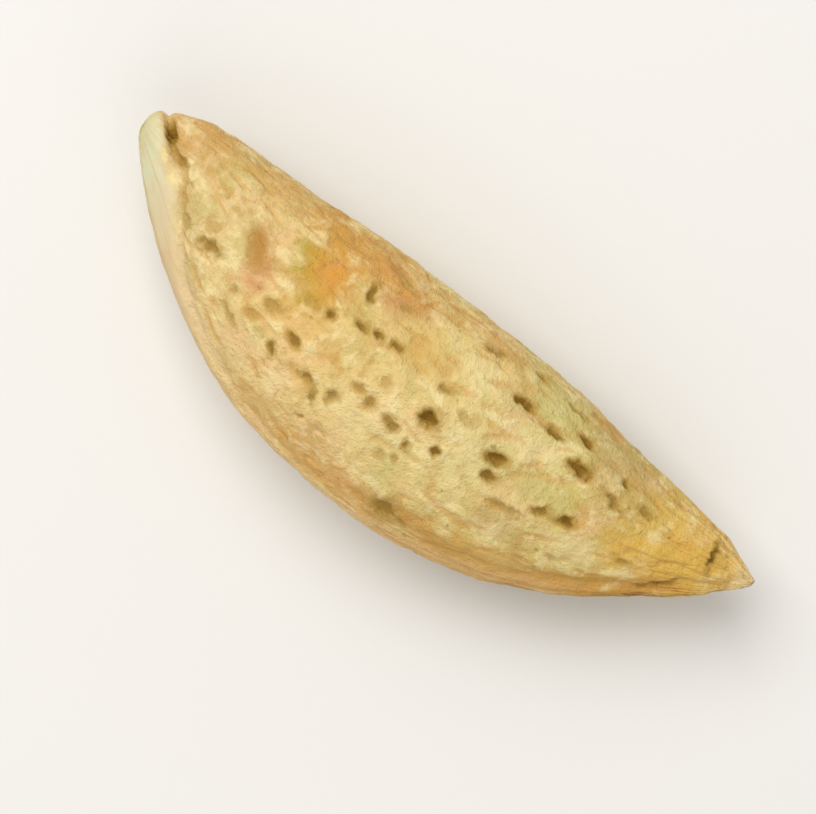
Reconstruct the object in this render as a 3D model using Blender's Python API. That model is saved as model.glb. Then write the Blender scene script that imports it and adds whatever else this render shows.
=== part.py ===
"""An almond in its closed shell, as picked and dried, lying on its broad side.

The shell is one piece that grew as one, so it is one solid. +X runs from the stem end
to the tip, +Y from the keel to the rounded back, and +Z up from the flat spot it rests on.
"""

import math
import random

import bmesh
import bpy
import numpy as np
from mathutils import Vector, noise

MM = 0.001

# Driving dimensions of the whole nut.
LENGTH = 40.0 * MM
REST_CUT = 0.16 * MM  # how deep the resting spot is flattened into the round underside
REST_SNAP = 0.02 * MM  # corners nearer than this to the cut are moved onto it

# The plan outline and the side profile, as (share of the length, offset in mm).
KEEL_EDGE = [
    (0.00, -0.1), (0.02, -1.5), (0.07, -3.4), (0.15, -5.8), (0.22, -7.4), (0.31, -8.9),
    (0.40, -9.7), (0.50, -9.95), (0.60, -9.7), (0.70, -8.8), (0.80, -6.9), (0.90, -4.0),
    (0.95, -2.4), (0.98, -1.2), (1.00, 0.0),
]
BACK_EDGE = [
    (0.00, -0.1), (0.02, 1.05), (0.08, 1.95), (0.16, 2.25), (0.28, 2.4), (0.42, 2.55),
    (0.55, 2.65), (0.70, 2.35), (0.80, 1.75), (0.88, 1.3), (0.93, 1.0), (0.97, 0.5),
    (1.00, 0.0),
]
HALF_THICKNESS = [
    (0.00, 0.0), (0.02, 1.4), (0.07, 2.5), (0.15, 3.6), (0.25, 4.5), (0.35, 5.0),
    (0.45, 5.1), (0.55, 4.9), (0.65, 4.35), (0.75, 3.5), (0.85, 2.4), (0.92, 1.55),
    (0.97, 0.9), (1.00, 0.0),
]
BACK_FULLNESS = 0.16  # the section is this much fuller towards the back than the keel
SUTURE_SWAY = 0.35 * MM  # the keel wanders this far up and down along the length
SUTURE_START, SUTURE_TURNS = -0.3, 2.0  # in half waves

# The keel: the section is drawn in beside it where it is thin, as (share, part of the pinch).
KEEL_PINCH = 0.20
KEEL_REACH = 1.1 * MM
PINCH_PLACE = [(0.00, 0.0), (0.12, 0.05), (0.40, 0.8), (0.60, 1.0), (0.85, 0.9), (1.00, 0.0)]

# Its lip is a broad smooth roll that caps the stem end, and a thin crest further on. A groove
# parts it from each face. Widths across and heights in mm.
LIP_WIDTH = [
    (0.00, 1.7), (0.03, 2.7), (0.06, 2.6), (0.095, 3.0), (0.11, 2.5), (0.13, 1.9),
    (0.16, 1.3), (0.21, 0.9), (0.30, 0.6), (0.50, 0.6), (0.75, 1.0), (1.00, 0.5),
]
LIP_CREST = 2.0  # how many times nearer the crest is to the groove than to the keel's edge
LIP_RISE = [(0.00, 0.05), (0.06, 0.30), (0.15, 0.22), (0.25, 0.12), (0.45, 0.05), (1.00, 0.05)]
GROOVE_DEPTH = [
    (0.00, 0.15), (0.04, 0.42), (0.09, 0.30), (0.14, 0.16), (0.30, 0.10), (0.45, 0.06),
    (0.75, 0.12), (0.93, 0.16), (1.00, 0.05),
]
GROOVE_WIDTH = 0.28 * MM

# The slit along the middle of the keel, its depth in mm, and the scar of the stalk at the stem end.
SLIT_DEPTH = [(0.00, 0.0), (0.05, 0.16), (0.25, 0.26), (0.60, 0.20), (0.90, 0.12), (1.00, 0.0)]
SLIT_WIDTH = 0.26 * MM
SCAR_DEPTH = 0.15 * MM
SCAR_REACH = 0.8 * MM

# The back seam, where the two halves of the shell meet opposite the keel.
SEAM_DEPTH = 0.12 * MM
SEAM_WIDTH = 0.25 * MM
SEAM_BANK_RISE = 0.08 * MM
SEAM_BANK_WIDTH = 0.60 * MM

# Furrows run lengthwise like the fibres of the shell: along the keel on the tip half, and
# all round the tip. Places in shares of the length.
FURROWS = 11  # on each face
FURROW_SPREAD = math.radians(118)
FURROW_FIRST = 0.8  # of a step from the keel
FURROW_CROWDING = 1.15  # over 1 they stand closer towards the keel
FURROW_DEPTH = 0.12 * MM
FURROW_LEAST = 0.35  # of its depth where a furrow is faint
FURROW_HALF_ANGLE = math.radians(2.6)
FURROW_WANDER = math.radians(5.0)
FURROW_WANDERS, FURROW_FADES = 7.0, 9.0  # radians over the whole length
# Steps of phase in radians, so that neighbouring furrows wander and fade apart.
PHASE_BY_FURROW, PHASE_BY_FACE, PHASE_OF_FADE = 2.4, 1.7, 3.1
FURROW_END = 0.25  # sine of the angle along under which the furrows run out
MARGIN_START, MARGIN_FULL = 0.38, 0.62
MARGIN_REACH = math.radians(48)
TIP_FURROWS, TIP_FURROWS_REACH = 0.95, 0.12
TIP_FURROW_DEPTH = 0.6  # of the depth beside the keel

# Broad dents and swells of the whole surface.
SWELL_RISE = 0.20 * MM
SWELL_LENGTH = 7.0 * MM
SWELL_WIDTH = 3.2 * MM

# Pits and creases of the upper face: along from the stem end, across from the chord between
# the two ends, long, wide, all in mm, the turn of the long side in degrees, and the share of
# the full depth.
MARKED_PITS = [
    (1.7, 0.45, 1.7, 0.5, -52, 1.0), (2.9, -0.45, 1.3, 0.35, -12, 0.6),
    (5.2, -2.9, 0.9, 0.45, -50, 0.5), (7.0, -3.2, 1.6, 0.6, 15, 0.7),
    (9.0, -1.9, 2.3, 0.8, -57, 0.35), (9.4, -4.2, 0.6, 0.4, -45, 0.5),
    (9.9, -5.3, 1.5, 0.35, -20, 0.45), (10.8, -4.7, 0.8, 0.5, 0, 0.3),
    (11.4, -3.7, 0.8, 0.6, 0, 0.5), (11.8, -5.1, 0.6, 0.4, 0, 0.3),
    (12.7, -5.4, 0.9, 0.5, -50, 0.8), (13.1, -2.3, 1.2, 0.4, -15, 0.35),
    (13.4, -4.4, 0.8, 0.5, -20, 0.8), (14.1, -2.2, 0.6, 0.6, 0, 0.8),
    (15.1, -5.5, 1.0, 0.5, -15, 0.7), (15.2, 0.0, 1.3, 0.5, -80, 0.8),
    (15.8, -1.7, 0.8, 0.5, -10, 0.7), (15.9, -6.1, 0.8, 0.4, -50, 0.7),
    (16.3, 1.4, 1.6, 0.4, -20, 0.4), (16.7, -5.5, 0.9, 0.6, 60, 0.6),
    (16.7, -1.6, 0.8, 0.5, 0, 0.8), (17.0, 0.4, 0.8, 0.4, 20, 0.4),
    (17.5, -4.3, 0.7, 0.5, 0, 0.5), (17.8, -1.45, 0.7, 0.5, 10, 0.8),
    (18.4, -4.6, 0.7, 0.6, 0, 0.6), (18.5, -3.3, 0.6, 0.5, 0, 0.35),
    (19.9, -4.8, 0.9, 0.6, 0, 0.7), (20.4, -6.35, 0.7, 0.5, 0, 0.4),
    (21.1, -6.2, 0.4, 0.4, 0, 0.5), (21.1, -1.7, 0.8, 0.4, 15, 0.6),
    (21.2, -5.2, 0.7, 0.45, -60, 0.7), (21.3, -3.4, 1.0, 0.9, 0, 1.0),
    (22.0, 1.4, 1.2, 0.6, 20, 0.6), (22.3, -8.6, 1.4, 0.9, -20, 0.6),
    (22.6, -4.6, 0.5, 0.5, 0, 0.9), (22.7, -2.3, 0.9, 0.4, -25, 0.4),
    (23.4, -8.7, 0.5, 0.4, 0, 0.5), (24.7, 0.2, 1.4, 0.55, 8, 1.0),
    (24.7, 1.8, 0.8, 0.4, 0, 0.6), (25.3, -3.0, 1.2, 0.7, 20, 0.95),
    (25.5, -3.95, 0.9, 0.6, 5, 0.8), (26.9, -0.1, 1.3, 0.4, 5, 0.8),
    (27.1, -4.7, 2.2, 0.4, 5, 0.5), (27.3, 1.5, 1.1, 0.4, 0, 0.6),
    (28.3, 2.0, 0.7, 0.4, 0, 0.4), (28.5, 0.6, 1.0, 0.5, 5, 0.9),
    (28.7, -3.75, 1.0, 0.5, 15, 0.7), (29.1, -0.8, 1.5, 0.65, 5, 1.0),
    (30.1, -3.4, 1.0, 0.6, 10, 1.0), (30.6, -5.3, 0.7, 0.4, 0, 0.35),
    (31.5, -1.1, 1.6, 0.5, -10, 0.6), (31.5, 0.05, 0.6, 0.45, 0, 0.8),
    (33.2, -0.5, 1.0, 0.4, 0, 0.6), (33.8, -3.3, 0.9, 0.5, 0, 0.5),
    (36.0, -3.1, 2.6, 0.35, 42, 0.6), (37.4, -0.2, 1.5, 0.4, -72, 0.9),
]

# The pits of the underside follow a rule: thick over its middle, thin towards the edges.
UNDER_PITS = 62
PIT_TRIES = 6000
PIT_ENDS = (0.08, 0.93)  # shares of the length between which they lie
PIT_OFF_SEAMS = 0.3  # least sine of the angle from the keel or the back
PIT_FLANK_FALL, PIT_END_FALL = 1.6, 0.8
PIT_SPACING = 1.35 * MM
PIT_LONG = (0.65 * MM, 1.35 * MM)
PIT_WIDE = (0.45 * MM, 0.85 * MM)
PIT_STRENGTH = (0.4, 1.0)
PIT_TURN = 25.0
PIT_DEPTH = 0.55  # of its width
PIT_BOWL = 1.3  # over 1 the bowl is narrower than a round one
PIT_KEEP_OFF_REST = 3.2 * MM
PIT_KEEP_OFF_LIP = 0.6 * MM
FACE_EDGE = 0.98  # cosine of the angle around beyond which no marked pit is centred
SEED = 11

# Where on the underside its lowest point is looked for.
REST_ALONG = (0.2 * math.pi, 0.8 * math.pi)
REST_AROUND = (1.25 * math.pi, 1.75 * math.pi)
REST_STEPS = 200

# The dense surface that the formula shapes, and the facets that are kept of it.
SEGMENTS_AROUND = 200
SEGMENTS_ALONG = 300
KEPT_FACETS = 10800

SHELL_COLOUR = (0.72, 0.55, 0.29, 1.0)
SHELL_ROUGHNESS = 0.85


def smooth_curve(points, unit=1.0):
    """A curve through (share of the length, value) points, read by the angle along the nut."""
    stations = np.array([math.acos(1 - 2 * share) for share, _ in points])
    values = np.array([value * unit for _, value in points])
    slopes = np.gradient(values, stations)

    def read(angle):
        i = np.clip(np.searchsorted(stations, angle) - 1, 0, len(stations) - 2)
        span = stations[i + 1] - stations[i]
        s = (angle - stations[i]) / span
        start = (1 + 2 * s) * (1 - s) ** 2 * values[i] + s * (1 - s) ** 2 * span * slopes[i]
        end = s**2 * (3 - 2 * s) * values[i + 1] - s**2 * (1 - s) * span * slopes[i + 1]
        return start + end

    return read


keel_edge = smooth_curve(KEEL_EDGE, MM)
back_edge = smooth_curve(BACK_EDGE, MM)
half_thickness = smooth_curve(HALF_THICKNESS, MM)
pinch_place = smooth_curve(PINCH_PLACE)
lip_width = smooth_curve(LIP_WIDTH, MM)
lip_rise = smooth_curve(LIP_RISE, MM)
groove_depth = smooth_curve(GROOVE_DEPTH, MM)
slit_depth = smooth_curve(SLIT_DEPTH, MM)


def bell(offset, width):
    return np.exp(-((offset / width) ** 2))


def share_along(along):
    return (1 - np.cos(along)) / 2


def suture_height(along):
    half_waves = SUTURE_START + SUTURE_TURNS * share_along(along)
    return SUTURE_SWAY * np.sin(math.pi * half_waves) * np.sin(along)


def smooth_form(along, around):
    """Points of the shell before any relief. along runs 0 at the stem end to pi at the tip;
    around runs from the back over the upper face to the keel at pi, and on underneath."""
    keel, back = keel_edge(along), back_edge(along)
    reach = (back - keel) / 2
    y = (back + keel) / 2 + reach * np.cos(around)
    section = np.sin(around) * (1 + BACK_FULLNESS * np.cos(around))
    pinch = 1 - KEEL_PINCH * pinch_place(along) * bell(y - keel, KEEL_REACH)
    z = half_thickness(along) * section * pinch + suture_height(along)
    return np.stack([LENGTH * share_along(along), y, z], axis=1)


def around_at(along, across):
    """The angle around, on the upper face, of a point this far across."""
    keel, back = keel_edge(along), back_edge(along)
    cosine = (across - (back + keel) / 2) / ((back - keel) / 2)
    return np.arccos(np.clip(cosine, -FACE_EDGE, FACE_EDGE))


def pit_list():
    """Each pit as (point, long, wide, depth, turn of its long side): the marked ones, then
    those of the underside."""
    rng = random.Random(SEED)
    pits = []
    for x, y, long, wide, turn, strength in MARKED_PITS:
        along = np.array([math.acos(1 - 2 * x * MM / LENGTH)])
        point = smooth_form(along, around_at(along, y * MM))[0]
        depth = PIT_DEPTH * wide * strength
        pits.append((point, long * MM, wide * MM, depth * MM, math.radians(turn)))
    rest = rest_centre()
    for _ in range(PIT_TRIES):
        if len(pits) == len(MARKED_PITS) + UNDER_PITS:
            break
        along = math.acos(1 - 2 * rng.uniform(*PIT_ENDS))
        around = rng.uniform(math.pi, 2 * math.pi)
        off_seams = abs(math.sin(around))
        wanted = off_seams**PIT_FLANK_FALL * math.sin(along) ** PIT_END_FALL
        if rng.random() > wanted or off_seams < PIT_OFF_SEAMS:
            continue
        point = smooth_form(np.array([along]), np.array([around]))[0]
        from_lip = point[1] - keel_edge(along) - lip_width(along)
        if from_lip < PIT_KEEP_OFF_LIP or math.dist(point[:2], rest) < PIT_KEEP_OFF_REST:
            continue
        if min(math.dist(point, other[0]) for other in pits) < PIT_SPACING:
            continue
        long, wide = rng.uniform(*PIT_LONG), rng.uniform(*PIT_WIDE)
        depth = PIT_DEPTH * min(long, wide) * rng.uniform(*PIT_STRENGTH)
        turn = math.radians(rng.uniform(-PIT_TURN, PIT_TURN))
        pits.append((point, max(long, wide), min(long, wide), depth, turn))
    return pits


def rest_centre():
    """The lowest point of the underside, in plan."""
    along = np.linspace(*REST_ALONG, REST_STEPS)
    around = np.linspace(*REST_AROUND, REST_STEPS)
    grid = np.meshgrid(along, around)
    points = smooth_form(grid[0].ravel(), grid[1].ravel())
    return points[points[:, 2].argmin()][:2]


def pit_relief(points, normals):
    """How far the pits draw the surface in."""
    relief = np.zeros(len(points))
    for centre, long, wide, depth, turn in pit_list():
        near = np.flatnonzero(np.abs(points - centre).max(axis=1) < long)
        nearest = near[np.linalg.norm(points[near] - centre, axis=1).argmin()]
        normal = normals[nearest]
        lengthwise = np.array([1.0, 0.0, 0.0]) - normal[0] * normal
        lengthwise /= np.linalg.norm(lengthwise)
        crosswise = np.cross(normal, lengthwise)
        offset = points[near] - centre
        a, b = offset @ lengthwise, offset @ crosswise
        by_long = (a * math.cos(turn) + b * math.sin(turn)) / (long / 2)
        by_wide = (b * math.cos(turn) - a * math.sin(turn)) / (wide / 2)
        relief[near] -= depth * np.clip(1 - by_long**2 - by_wide**2, 0, None) ** PIT_BOWL
    return relief


def furrow_relief(along, around):
    """Lengthwise furrows on both faces."""
    share = share_along(along)
    relief = np.zeros(len(along))
    margin = np.clip((share - MARGIN_START) / (MARGIN_FULL - MARGIN_START), 0, 1)
    tip = TIP_FURROW_DEPTH * bell(share - TIP_FURROWS, TIP_FURROWS_REACH)
    for face in (1, -1):
        from_keel = np.where(np.sin(around) * face >= 0, np.abs(around - math.pi), math.inf)
        for i in range(FURROWS):
            place = FURROW_SPREAD * ((i + FURROW_FIRST) / FURROWS) ** FURROW_CROWDING
            phase = PHASE_BY_FURROW * i + PHASE_BY_FACE * face
            wander = FURROW_WANDER * np.sin(FURROW_WANDERS * share + phase) * math.sin(place)
            fade = np.sin(FURROW_FADES * share + PHASE_OF_FADE * phase) ** 2
            strength = FURROW_LEAST + (1 - FURROW_LEAST) * fade
            depth = FURROW_DEPTH * strength * np.maximum(margin * bell(place, MARGIN_REACH), tip)
            relief -= depth * bell(from_keel - place - wander, FURROW_HALF_ANGLE)
    return relief * np.clip(np.sin(along) / FURROW_END, 0, 1)


def swell_relief(points):
    """Broad dents and swells, longer along the nut than across it."""
    stretch = Vector((1 / SWELL_LENGTH, 1 / SWELL_WIDTH, 1 / SWELL_WIDTH))
    return np.array([SWELL_RISE * noise.noise(Vector(p) * stretch) for p in points])


def keel_relief(along, around, points):
    """The rolled lip of the keel, the groove behind it, the slit along its middle, the seam
    along the back, and the scar of the stalk."""
    from_keel = points[:, 1] - keel_edge(along)
    over_lip = np.clip(from_keel / lip_width(along), 0, 1)
    highest = (LIP_CREST / (LIP_CREST + 1)) ** LIP_CREST / (LIP_CREST + 1)
    lip = lip_rise(along) * over_lip**LIP_CREST * (1 - over_lip) / highest
    groove = groove_depth(along) * bell(from_keel - lip_width(along), GROOVE_WIDTH)
    from_suture = points[:, 2] - suture_height(along)
    slit = slit_depth(along) * bell(from_suture, SLIT_WIDTH) * np.clip(-np.cos(around), 0, 1)
    bank = SEAM_BANK_RISE * bell(from_suture, SEAM_BANK_WIDTH)
    seam = (bank - SEAM_DEPTH * bell(from_suture, SEAM_WIDTH)) * np.clip(np.cos(around), 0, 1)
    stem_end = smooth_form(np.zeros(1), np.zeros(1))[0]
    scar = SCAR_DEPTH * bell(np.linalg.norm(points - stem_end, axis=1), SCAR_REACH)
    return (lip - groove - slit + seam) * np.sin(along) ** 0.5 - scar


def set_points(mesh, points):
    mesh.vertices.foreach_set("co", points.astype(np.float32).ravel())
    mesh.update()


def read_points(mesh, what="co"):
    values = np.empty(len(mesh.vertices) * 3)
    source = mesh.vertices if what == "co" else mesh.vertex_normals
    source.foreach_get("co" if what == "co" else "vector", values)
    return values.reshape(-1, 3)


def dense_shell():
    """A sphere whose poles are the stem end and the tip, moved onto the shell's surface."""
    mesh = bpy.data.meshes.new("dense_shell")
    bm = bmesh.new()
    bmesh.ops.create_uvsphere(
        bm, u_segments=SEGMENTS_AROUND, v_segments=SEGMENTS_ALONG, radius=1.0
    )
    bm.to_mesh(mesh)
    bm.free()
    ball = read_points(mesh)
    along = np.arccos(np.clip(-ball[:, 2], -1, 1))
    around = np.arctan2(ball[:, 1], ball[:, 0]) % (2 * math.pi)
    form = smooth_form(along, around)
    set_points(mesh, form)
    normals = read_points(mesh, "normals")
    relief = keel_relief(along, around, form) + furrow_relief(along, around)
    relief += swell_relief(form) + pit_relief(form, normals)
    set_points(mesh, form + normals * relief[:, None])
    return mesh


def reduced(mesh):
    """The dense surface cut down to the facets that its relief needs."""
    holder = bpy.data.objects.new("dense_shell", mesh)
    bpy.context.scene.collection.objects.link(holder)
    decimate = holder.modifiers.new("facets", "DECIMATE")
    triangles = sum(len(face.vertices) - 2 for face in mesh.polygons)
    decimate.ratio = KEPT_FACETS / triangles
    graph = bpy.context.evaluated_depsgraph_get()
    kept = bpy.data.meshes.new_from_object(holder.evaluated_get(graph))
    bpy.data.objects.remove(holder)
    bpy.data.meshes.remove(mesh)
    return kept


def flatten_rest(mesh):
    """Cuts the small flat spot, closes it with one flat face, and sets the origin under
    the middle of the nut on that flat."""
    lowest = read_points(mesh)[:, 2].min()
    cut_height = lowest + REST_CUT
    bm = bmesh.new()
    bm.from_mesh(mesh)
    cut = bmesh.ops.bisect_plane(
        bm,
        geom=bm.verts[:] + bm.edges[:] + bm.faces[:],
        plane_co=(0, 0, cut_height),
        plane_no=(0, 0, 1),
        dist=REST_SNAP,
        use_snap_center=True,
        clear_inner=True,
    )
    rim = [part for part in cut["geom_cut"] if isinstance(part, bmesh.types.BMEdge)]
    bmesh.ops.holes_fill(bm, edges=rim)
    bmesh.ops.recalc_face_normals(bm, faces=bm.faces[:])
    bm.to_mesh(mesh)
    bm.free()
    points = read_points(mesh)
    middle = (points.min(axis=0) + points.max(axis=0)) / 2
    set_points(mesh, points - [middle[0], middle[1], cut_height])


def shell_material():
    material = bpy.data.materials.new("shell")
    material.use_nodes = True
    surface = material.node_tree.nodes["Principled BSDF"]
    surface.inputs["Base Color"].default_value = SHELL_COLOUR
    surface.inputs["Roughness"].default_value = SHELL_ROUGHNESS
    surface.inputs["Metallic"].default_value = 0.0
    return material


def build():
    for old in list(bpy.data.objects):
        bpy.data.objects.remove(old)
    collection = bpy.data.collections.new("almond")
    bpy.context.scene.collection.children.link(collection)
    mesh = reduced(dense_shell())
    flatten_rest(mesh)
    mesh.name = "almond"
    mesh.materials.append(shell_material())
    mesh.shade_smooth()
    collection.objects.link(bpy.data.objects.new("almond", mesh))


build()
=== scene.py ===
# An almond in its closed shell, lying on its broad side on a pale table.
# +X runs from the stem end to the tip, +Y from the keel to the back, +Z up.
import math
import random

import bpy
import numpy as np
from mathutils import Matrix, Vector, noise


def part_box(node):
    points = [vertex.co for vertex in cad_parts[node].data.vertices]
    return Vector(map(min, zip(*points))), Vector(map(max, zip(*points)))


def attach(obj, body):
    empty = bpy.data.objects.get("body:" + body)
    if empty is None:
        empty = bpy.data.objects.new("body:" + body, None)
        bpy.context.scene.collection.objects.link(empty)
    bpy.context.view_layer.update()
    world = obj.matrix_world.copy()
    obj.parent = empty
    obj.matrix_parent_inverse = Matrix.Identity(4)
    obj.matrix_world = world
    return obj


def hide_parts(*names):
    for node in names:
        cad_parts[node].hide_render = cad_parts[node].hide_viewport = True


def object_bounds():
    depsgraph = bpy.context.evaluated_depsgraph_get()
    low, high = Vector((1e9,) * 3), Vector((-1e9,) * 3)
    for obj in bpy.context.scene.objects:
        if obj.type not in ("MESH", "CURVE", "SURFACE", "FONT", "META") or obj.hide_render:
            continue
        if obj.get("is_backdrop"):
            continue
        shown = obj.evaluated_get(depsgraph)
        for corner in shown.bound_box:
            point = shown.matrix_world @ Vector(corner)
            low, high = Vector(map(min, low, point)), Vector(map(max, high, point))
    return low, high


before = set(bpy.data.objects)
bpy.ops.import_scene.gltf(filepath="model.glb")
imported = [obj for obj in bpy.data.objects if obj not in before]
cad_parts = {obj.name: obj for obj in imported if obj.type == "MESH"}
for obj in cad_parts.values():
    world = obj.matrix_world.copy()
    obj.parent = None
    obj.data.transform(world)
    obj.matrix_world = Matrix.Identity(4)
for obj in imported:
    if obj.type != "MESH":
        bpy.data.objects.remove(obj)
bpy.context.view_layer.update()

mm = 0.001
print("almond: packed solid loaded")


def linearColour(hexCode):
    shares = [int(hexCode[i : i + 2], 16) / 255 for i in (1, 3, 5)]
    return (*[s / 12.92 if s <= 0.04045 else ((s + 0.055) / 1.055) ** 2.4 for s in shares], 1.0)


def addNode(tree, kind, sockets=None, **settings):
    # a socket's value is a number, a colour, another node's socket, or a node for its first output
    node = tree.nodes.new(kind)
    for name, value in settings.items():
        setattr(node, name, value)
    for key, value in (sockets or {}).items():
        if isinstance(value, bpy.types.Node):
            value = next(output for output in value.outputs if output.enabled)
        if isinstance(value, bpy.types.NodeSocket):
            tree.links.new(value, node.inputs[key])
        else:
            node.inputs[key].default_value = value
    return node


# the form of the shell
shell = {
    "length": 40.0,  # mm, stem end to tip
    "ringsAlong": 330,
    "pointsAbove": 172,  # round the upper face; the underside has fewer
    "pointsBelow": 116,
    # plan outline and side profile: share of the length, mm
    "keelEdge": [
        (0.00, -0.1), (0.02, -1.5), (0.07, -3.4), (0.15, -5.8), (0.22, -7.4), (0.31, -8.9),
        (0.40, -9.7), (0.50, -9.95), (0.60, -9.7), (0.70, -8.8), (0.80, -6.9), (0.90, -4.0),
        (0.95, -2.4), (0.98, -1.2), (1.00, 0.0),
    ],
    "backEdge": [
        (0.00, -0.1), (0.02, 1.05), (0.08, 1.95), (0.16, 2.25), (0.28, 2.4), (0.42, 2.55),
        (0.55, 2.65), (0.70, 2.35), (0.80, 1.75), (0.88, 1.3), (0.93, 1.0), (0.97, 0.5),
        (1.00, 0.0),
    ],
    "halfThickness": [
        (0.00, 0.0), (0.02, 1.4), (0.07, 2.5), (0.15, 3.6), (0.25, 4.5), (0.35, 5.0),
        (0.45, 5.1), (0.55, 4.9), (0.65, 4.35), (0.75, 3.5), (0.85, 2.4), (0.92, 1.55),
        (0.97, 0.9), (1.00, 0.0),
    ],
    "backFullness": 0.16,  # the section is this much fuller towards the back
    "sutureSway": 0.35,  # mm that the keel wanders up and down
    "swayWaves": 2.0,  # half waves of that along the nut
    "swayStart": -0.3,  # half waves
    "restCut": 0.16,  # mm pressed flat where it lies
    "endFade": 0.25,  # fine relief fades out at the two ends, by the sine of the angle along
}


def smoothCurve(points):
    # a curve through the points, read by the angle along the nut
    stations = np.array([math.acos(1 - 2 * share) for share, _ in points])
    values = np.array([value * mm for _, value in points])
    slopes = np.gradient(values, stations)

    def read(angle):
        i = np.clip(np.searchsorted(stations, angle) - 1, 0, len(stations) - 2)
        span = stations[i + 1] - stations[i]
        s = (angle - stations[i]) / span
        start = (1 + 2 * s) * (1 - s) ** 2 * values[i] + s * (1 - s) ** 2 * span * slopes[i]
        end = s**2 * (3 - 2 * s) * values[i + 1] - s**2 * (1 - s) * span * slopes[i + 1]
        return start + end

    return read


keelEdge = smoothCurve(shell["keelEdge"])
backEdge = smoothCurve(shell["backEdge"])
halfThickness = smoothCurve(shell["halfThickness"])

keel = {
    "pinch": 0.20,  # the section is drawn in this much beside the thin part of the keel
    "reach": 1.1,  # mm
    "pinchPlace": [(0.00, 0.0), (0.12, 0.05), (0.40, 0.8), (0.60, 1.0), (0.85, 0.9), (1.00, 0.0)],
    # the lip: a broad smooth roll that caps the stem end, a thin crest further on; mm
    "lipWidth": [
        (0.00, 1.7), (0.03, 2.7), (0.06, 2.6), (0.095, 3.0), (0.11, 2.5), (0.13, 1.9),
        (0.16, 1.3), (0.21, 0.9), (0.30, 0.6), (0.50, 0.6), (0.75, 1.0), (1.00, 0.5),
    ],
    "lipRise": [(0.00, 0.05), (0.06, 0.30), (0.15, 0.22), (0.25, 0.12), (0.45, 0.05), (1.00, 0.05)],
    "grooveDepth": [
        (0.00, 0.15), (0.04, 0.42), (0.09, 0.30), (0.14, 0.16), (0.30, 0.10), (0.45, 0.06),
        (0.75, 0.12), (0.93, 0.16), (1.00, 0.05),
    ],
    "grooveWidth": 0.28,  # mm
    # the slit along the middle of the keel, and the scar of the stalk at the stem end
    "slitDepth": [(0.00, 0.0), (0.05, 0.16), (0.25, 0.26), (0.60, 0.20), (0.90, 0.12), (1.00, 0.0)],
    "slitWidth": 0.26,  # mm
    "slitReach": 0.8,  # mm that its colour spreads
    "scarDepth": 0.15,  # mm
    "scarReach": 0.8,  # mm
    # the smooth part of the lip: its edge in lip widths, its end as a share of the length
    "rollEdge": 1.1,
    "rollEdgeFade": 0.4,
    "rollEnd": 0.32,
    "rollEndFade": 0.16,
    "rollLoss": 0.75,  # share of the smoothness lost beside the slit
}
pinchPlace = smoothCurve([(share, value / mm) for share, value in keel["pinchPlace"]])
lipWidth = smoothCurve(keel["lipWidth"])
lipRise = smoothCurve(keel["lipRise"])
grooveDepth = smoothCurve(keel["grooveDepth"])
slitDepth = smoothCurve(keel["slitDepth"])

backSeam = {"depth": 0.12, "width": 0.25, "bankRise": 0.08, "bankWidth": 0.60}  # mm

# where the fibres of the shell lie bare: by the keel on the tip half, and all round the tip
bareFibres = {
    "start": 0.38,  # share of the length
    "gain": 0.24,  # share of the length in which they come out
    "halfAngle": 48.0,  # degrees round from the keel
    "tipPlace": 0.95,  # share of the length
    "tipReach": 0.12,
    "tipStrength": 0.6,
}

furrows = {
    "count": 11,  # on each face
    "spread": 118.0,  # degrees round from the keel
    "first": 0.8,  # steps from the keel to the first one
    "crowding": 1.15,  # above 1 they lie closer near the keel
    "depth": 0.12,  # mm
    "faintest": 0.35,  # share of the depth where one fades
    "halfAngle": 2.6,  # degrees
    "wander": 5.0,  # degrees
    # radians along the nut of the wandering and the fading, and how far they shift from one
    # furrow and from one face to the next
    "wanderWaves": 7.0,
    "fadeWaves": 9.0,
    "phaseStep": 2.4,
    "phaseFace": 1.7,
    "fadePhase": 3.1,
}

swells = {"rise": 0.20, "along": 7.0, "across": 3.2}  # mm


def bell(offset, width):
    return np.exp(-((offset / width) ** 2))


def fadeOut(value, end, over):
    # one, falling to nought at the end
    return np.clip((end - value) / over, 0, 1)


def shareAlong(along):
    return (1 - np.cos(along)) / 2


def clearOfEnds(along):
    return np.clip(np.sin(along) / shell["endFade"], 0, 1)


def sutureHeight(along):
    waves = shell["swayWaves"] * shareAlong(along) + shell["swayStart"]
    return shell["sutureSway"] * mm * (np.sin(math.pi * waves) * np.sin(along))


def smoothForm(along, around):
    # along runs 0 at the stem end to pi at the tip, around from the back over the top to the keel at pi
    keelSide, backSide = keelEdge(along), backEdge(along)
    y = (backSide + keelSide) / 2 + (backSide - keelSide) / 2 * np.cos(around)
    section = np.sin(around) * (1 + shell["backFullness"] * np.cos(around))
    pinch = 1 - keel["pinch"] * pinchPlace(along) * bell(y - keelSide, keel["reach"] * mm)
    z = halfThickness(along) * section * pinch + sutureHeight(along)
    return np.stack([shell["length"] * mm * shareAlong(along), y, z], axis=-1)


def stalkScar(form):
    return bell(np.linalg.norm(form - smoothForm(0.0, 0.0), axis=1), keel["scarReach"] * mm)


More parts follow.
